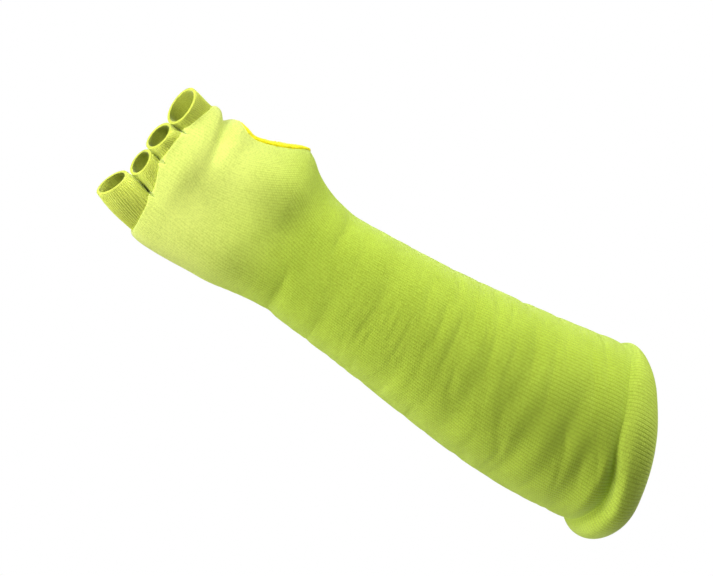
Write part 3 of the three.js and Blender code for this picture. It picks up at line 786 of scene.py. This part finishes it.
def binding_core(middle, opening, out):
    """Padded ring inside the bound edge, as a grid of stations and sides"""
    angle = 2 * np.pi * np.arange(BINDING_CORE["sides"]) / BINDING_CORE["sides"]
    half_width = BINDING["width"] / 2 - BINDING_CORE["inset"]
    half_depth = BINDING["depth"] / 2 - BINDING_CORE["inset"]
    return (
        middle[:, None]
        - opening[:, None] * (np.cos(angle) * half_width)[None, :, None]
        + out[:, None] * (np.sin(angle) * half_depth)[None, :, None]
    )


def binding_thread(middle, opening, out, total):
    """Thread wound round the bound edge, as a grid of stations and sides"""
    wraps = round(total / BINDING_THREAD["pitch"])
    wrap = np.arange(wraps * BINDING_THREAD["steps"]) / BINDING_THREAD["steps"]
    place = wrap * BINDING["stations"] / wraps
    stations = np.arange(BINDING["stations"] + 1)
    loose = np.random.default_rng(BINDING_SLACK["seed"]).uniform(0, 1, wraps + 1) ** BINDING_SLACK["rarity"]
    slack = 1 + BINDING_SLACK["most"] * np.interp(wrap, np.arange(wraps + 1), loose)
    half_width = BINDING["width"] / 2 - BINDING_THREAD["inset"]
    half_depth = BINDING["depth"] / 2 - BINDING_THREAD["inset"]
    turn = 2 * np.pi * wrap
    path = (
        on_loop(middle, stations, place)
        - on_loop(opening, stations, place) * (slack * np.cos(turn) * half_width)[:, None]
        + on_loop(out, stations, place) * (slack * np.sin(turn) * half_depth)[:, None]
    )
    return tube(path, BINDING_THREAD["radius"], BINDING_THREAD["sides"])


def binding_piece(body):
    """Overlocked edge round the thumb opening: a padded ring with thread wound round it"""
    middle, opening, out, total = binding_line(body)
    grids = [binding_core(middle, opening, out), binding_thread(middle, opening, out, total)]
    cloth = Cloth()
    for grid in grids:
        numbers = cloth.add(grid)
        wrapped = closed(np.concatenate([numbers, numbers[:1]]))
        across = np.arange(wrapped.shape[1]) / grid.shape[1]
        along = np.arange(wrapped.shape[0]) * BINDING_COURSES
        cloth.join(wrapped, stitch_grid(across[None, :], along[:, None]))
    cells = np.concatenate(cloth.cells)
    return build_mesh("overlocked_edge", cloth.points, cells, np.concatenate(cloth.stitches))


def node(tree, kind, inputs=None, **settings):
    """One shader node, with its settings and its inputs as values or as other nodes' sockets"""
    made = tree.nodes.new(kind)
    for key, value in settings.items():
        setattr(made, key, value)
    for key, value in (inputs or {}).items():
        if isinstance(value, bpy.types.NodeSocket):
            tree.links.new(value, made.inputs[key])
        else:
            made.inputs[key].default_value = value
    return made


def maths(tree, operation, *values):
    """Result of one sum with values or other nodes' sockets"""
    inputs = dict(enumerate(values))
    return node(tree, "ShaderNodeMath", inputs, operation=operation).outputs[0]


def colour_mix(tree, share, first, second):
    """Mix of two colours, with this share of the second"""
    made = node(tree, "ShaderNodeMix", data_type="RGBA")
    for socket, value in ((made.inputs[0], share), (made.inputs[6], first), (made.inputs[7], second)):
        if isinstance(value, bpy.types.NodeSocket):
            tree.links.new(value, socket)
        elif isinstance(value, (int, float)):
            socket.default_value = value
        else:
            socket.default_value = (*value, 1)
    return made.outputs[2]


# Form of a knitted stitch: slant of its two legs, how their sides round off, how deep the valley
# between them is, and how much of its height runs along the legs
STITCH = {"slant": 0.7, "side": 2.5, "bluntness": 0.8, "valley": 0.35, "valley_side": 2.0, "leg": 0.65}
# Noise in the yarn's shade, in patches and in specks, and how far the specks stand out
PATCHES = {"scale": 55.0, "detail": 3.0, "share": 0.35}
SPECKS = {"scale": 900.0, "detail": 2.0, "share": 0.7, "height": 0.3}
# Where the painted light that draws the palm lit and paler gives way to the forearm's plain shade, in
# metres, and the share of the painted shade between the stitches that the hand keeps
PAINTED_HAND_LIGHT_END = {"from": -0.075, "to": -0.01}
HAND_GROOVE = 0.6
BUMP_DISTANCE = 0.0006
NAP = {"weight": 0.35, "roughness": 0.45, "tint": (0.95, 1.0, 0.75, 1), "specular": 0.1}

# Shades of the knits and the thread: the light shade, the deep one, which is painted shade between the
# stitches and also mixes in as random patches and specks, the hand's paler shade where it differs, which is
# painted light on the palm, and how far the painted shade between the stitches and the bumps show; the
# thread is the smoothest
KNIT = {"light": (0.56, 0.74, 0.07), "deep": (0.22, 0.31, 0.005), "hand": (0.69, 0.78, 0.17), "groove": 0.45}
HEM_KNIT = {"light": (0.61, 0.79, 0.09), "deep": (0.22, 0.31, 0.005), "groove": 0.45}
RIB_KNIT = {"light": (0.72, 0.81, 0.12), "deep": (0.33, 0.36, 0.01), "groove": 0.8, "bump": 0.35}
THREAD = {"light": (0.92, 0.84, 0.01), "deep": (0.75, 0.64, 0.0), "groove": 0.2, "bump": 0.2}
THREAD_ROUGHNESS = 0.5


def knit_height(tree):
    """Height of plain knit: two slanting legs in each wale, from the stitch coordinates"""
    uv = node(tree, "ShaderNodeUVMap", uv_map="knit").outputs[0]
    split = node(tree, "ShaderNodeSeparateXYZ", {0: uv})
    wale = maths(tree, "FRACT", split.outputs[0])
    away = maths(tree, "MULTIPLY", maths(tree, "ABSOLUTE", maths(tree, "SUBTRACT", wale, 0.5)), 2.0)
    slanted = maths(tree, "ADD", split.outputs[1], maths(tree, "MULTIPLY", away, STITCH["slant"]))
    leg = maths(tree, "SINE", maths(tree, "MULTIPLY", maths(tree, "FRACT", slanted), math.pi))
    side = maths(tree, "SUBTRACT", 1.0, maths(tree, "POWER", away, STITCH["side"]))
    across = maths(tree, "POWER", side, STITCH["bluntness"])
    valley = maths(tree, "MULTIPLY", maths(tree, "SUBTRACT", 1.0, away), STITCH["valley"])
    across = maths(tree, "SUBTRACT", across, maths(tree, "POWER", valley, STITCH["valley_side"]))
    loops = maths(tree, "ADD", 1.0 - STITCH["leg"], maths(tree, "MULTIPLY", leg, STITCH["leg"]))
    return maths(tree, "MULTIPLY", across, loops)


def noise(tree, place, kind):
    """Noise of one kind, between 0 and 1"""
    inputs = {"Vector": place, "Scale": kind["scale"], "Detail": kind["detail"]}
    return node(tree, "ShaderNodeTexNoise", inputs).outputs[0]


def painted_hand_light_fade(tree, place):
    """Share of the forearm's plain shade at a place: none on the hand, which has the painted light, all of
    it on the forearm
    """
    x = node(tree, "ShaderNodeSeparateXYZ", {0: place}).outputs[0]
    inputs = {0: x, 1: PAINTED_HAND_LIGHT_END["from"], 2: PAINTED_HAND_LIGHT_END["to"]}
    return node(tree, "ShaderNodeMapRange", inputs, interpolation_type="SMOOTHSTEP").outputs[0]


def knit_material(name, light, deep, groove, hand=None, bump=0.45, roughness=0.88):
    """Knitted cloth: a light shade, painted shade between the wales and random patches and specks of a deep
    one, painted light that makes the hand paler, and a soft nap
    """
    material = bpy.data.materials.new(name)
    material.use_nodes = True
    tree = material.node_tree
    shader = tree.nodes["Principled BSDF"]
    height = knit_height(tree)
    place = node(tree, "ShaderNodeTexCoord").outputs["Object"]
    specks = noise(tree, place, SPECKS)
    # Painted light: the hand is drawn in a paler shade, as where the palm is lit, fading into the forearm's
    # plain one
    forearm = painted_hand_light_fade(tree, place)
    # Painted shade between the stitches: how far the colour darkens towards the deep shade where the knit is
    # low, less on the hand
    depth = maths(tree, "MULTIPLY", forearm, (1 - HAND_GROOVE) * groove)
    depth = maths(tree, "ADD", HAND_GROOVE * groove, depth)
    share = maths(tree, "MULTIPLY", maths(tree, "SUBTRACT", 1.0, height), depth)
    # Random patches and specks of the deep shade as well, the knit's own uneven tone
    for value, kind in ((noise(tree, place, PATCHES), PATCHES), (specks, SPECKS)):
        uneven = maths(tree, "MULTIPLY", maths(tree, "SUBTRACT", value, 0.5), kind["share"])
        share = maths(tree, "ADD", share, uneven)
    clamp = node(tree, "ShaderNodeClamp", {"Value": share}).outputs[0]
    # The light shade, with painted light that makes the hand paler
    yarn_and_painted_hand_light = colour_mix(tree, forearm, hand or light, light)
    tree.links.new(colour_mix(tree, clamp, yarn_and_painted_hand_light, deep), shader.inputs["Base Color"])
    fine = maths(tree, "ADD", height, maths(tree, "MULTIPLY", specks, SPECKS["height"]))
    inputs = {"Height": fine, "Strength": bump, "Distance": BUMP_DISTANCE}
    tree.links.new(node(tree, "ShaderNodeBump", inputs).outputs[0], shader.inputs["Normal"])
    shader.inputs["Roughness"].default_value = roughness
    shader.inputs["Sheen Weight"].default_value = NAP["weight"]
    shader.inputs["Sheen Roughness"].default_value = NAP["roughness"]
    shader.inputs["Sheen Tint"].default_value = NAP["tint"]
    shader.inputs["Specular IOR Level"].default_value = NAP["specular"]
    return material


def dress(piece, material, slot, *nodes):
    """Gives a piece its material and its body, and hides the solids that it stands for"""
    piece.data.materials.append(material)
    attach(piece, "root")
    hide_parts(*nodes)


def build_sleeve():
    """All pieces of the sleeve, in their materials"""
    knit = knit_material("knit", **KNIT)
    hem_knit = knit_material("hem_knit", **HEM_KNIT)
    rib_knit = knit_material("rib_knit", **RIB_KNIT)
    thread = knit_material("binding_thread", **THREAD, roughness=THREAD_ROUGHNESS)
    body = build_body()
    dress(body["cloth"].mesh("knitted_body", CLOTH), knit, "knit", "sleeve_body")
    dress(hem_piece(body), hem_knit, "hem_knit", "elbow_hem")
    for name, finger in zip(CUFF_NAMES, body["fingers"]):
        dress(cuff_piece("ribbed_" + name, finger), rib_knit, "rib_knit", name)
    dress(binding_piece(body), thread, "binding_thread", "thumb_binding")


# Camera: the point that it looks at, the turn of the view, its distance and roll, and its lens
LOOK_AT = Vector((0.028, 0.0, 0.0027))
VIEW_AZIMUTH = -14.0
VIEW_DISTANCE = 1.05
VIEW_ROLL = 31.3
IMAGE_WIDTH = 713
FOCAL_PIXELS = 1926.6
SENSOR_WIDTH = 36.0


def build_camera():
    """Camera at the photograph's angle"""
    data = bpy.data.cameras.new("camera")
    data.sensor_width = SENSOR_WIDTH
    data.lens = FOCAL_PIXELS / IMAGE_WIDTH * SENSOR_WIDTH
    camera = bpy.data.objects.new("camera", data)
    bpy.context.scene.collection.objects.link(camera)
    azimuth = math.radians(VIEW_AZIMUTH)
    roll = math.radians(VIEW_ROLL)
    back = Vector((math.sin(azimuth), -math.cos(azimuth), 0))
    side = Vector((math.cos(azimuth), math.sin(azimuth), 0))
    top = Vector((0, 0, 1))
    right = side * math.cos(roll) + top * math.sin(roll)
    up = top * math.cos(roll) - side * math.sin(roll)
    place = LOOK_AT + back * VIEW_DISTANCE
    camera.matrix_world = Matrix((
        (right.x, up.x, back.x, place.x),
        (right.y, up.y, back.y, place.y),
        (right.z, up.z, back.z, place.z),
        (0, 0, 0, 1),
    ))
    bpy.context.scene.camera = camera


# Soft white lights: name, place, size and power
LIGHTS = (
    ("key", (-0.420, -0.243, 0.111), 0.25, 2.35),
    ("front", (-0.313, -0.429, 0.077), 0.3, 0.08),
    ("finger_side", (-0.443, -0.080, -0.025), 0.22, 0.45),
    ("top", (0.294, -0.201, 1.259), 0.9, 19.0),
    ("low", (-0.099, -0.020, -0.481), 0.45, 1.55),
    ("elbow_side", (0.491, 0.130, -0.134), 0.45, 0.5),
    ("behind", (-0.150, 1.150, 0.550), 0.9, 8.0),
)


# Strength of the white behind the sleeve, and of the light that comes from all sides
BACKGROUND = 1.0
AROUND = 0.02
# Floor below the sleeve, and the corners of a square in their order
SQUARE = ((-1, -1), (1, -1), (1, 1), (-1, 1))
FLOOR = {"height": -0.5, "half_side": 0.75, "shade": 0.86, "roughness": 0.9}


def area_light(name, place, size, power):
    """Soft square light that faces the sleeve"""
    data = bpy.data.lights.new(name, "AREA")
    data.size = size
    data.energy = power
    light = bpy.data.objects.new(name, data)
    bpy.context.scene.collection.objects.link(light)
    light.location = place
    light.rotation_mode = "QUATERNION"
    light.rotation_quaternion = (Vector(place) - LOOK_AT).to_track_quat("Z", "Y")


def build_world():
    """White studio: plain white behind the sleeve, and a dimmer soft light from all sides"""
    world = bpy.data.worlds.new("studio")
    bpy.context.scene.world = world
    world.use_nodes = True
    tree = world.node_tree
    shade = tree.nodes["Background"]
    shade.inputs["Color"].default_value = (1, 1, 1, 1)
    shade.inputs["Strength"].default_value = AROUND
    seen = node(tree, "ShaderNodeBackground", {"Color": (1, 1, 1, 1), "Strength": BACKGROUND})
    path = node(tree, "ShaderNodeLightPath")
    mixed = node(tree, "ShaderNodeMixShader", {0: path.outputs["Is Camera Ray"]})
    tree.links.new(shade.outputs[0], mixed.inputs[1])
    tree.links.new(seen.outputs[0], mixed.inputs[2])
    tree.links.new(mixed.outputs[0], tree.nodes["World Output"].inputs[0])


def build_floor():
    """Plain pale floor, well below the sleeve"""
    mesh = bpy.data.meshes.new("floor")
    corners = [(x * FLOOR["half_side"], y * FLOOR["half_side"], FLOOR["height"]) for x, y in SQUARE]
    mesh.from_pydata(corners, [], [(0, 1, 2, 3)])
    floor = bpy.data.objects.new("floor", mesh)
    bpy.context.scene.collection.objects.link(floor)
    material = bpy.data.materials.new("floor")
    material.use_nodes = True
    shader = material.node_tree.nodes["Principled BSDF"]
    shader.inputs["Base Color"].default_value = (*[FLOOR["shade"]] * 3, 1)
    shader.inputs["Roughness"].default_value = FLOOR["roughness"]
    mesh.materials.append(material)


def build_studio():
    """The studio: its world, floor and lights"""
    build_world()
    build_floor()
    for name, place, size, power in LIGHTS:
        area_light(name, place, size, power)
    bpy.context.scene.view_settings.view_transform = "Standard"


build_camera()
build_sleeve()
build_studio()
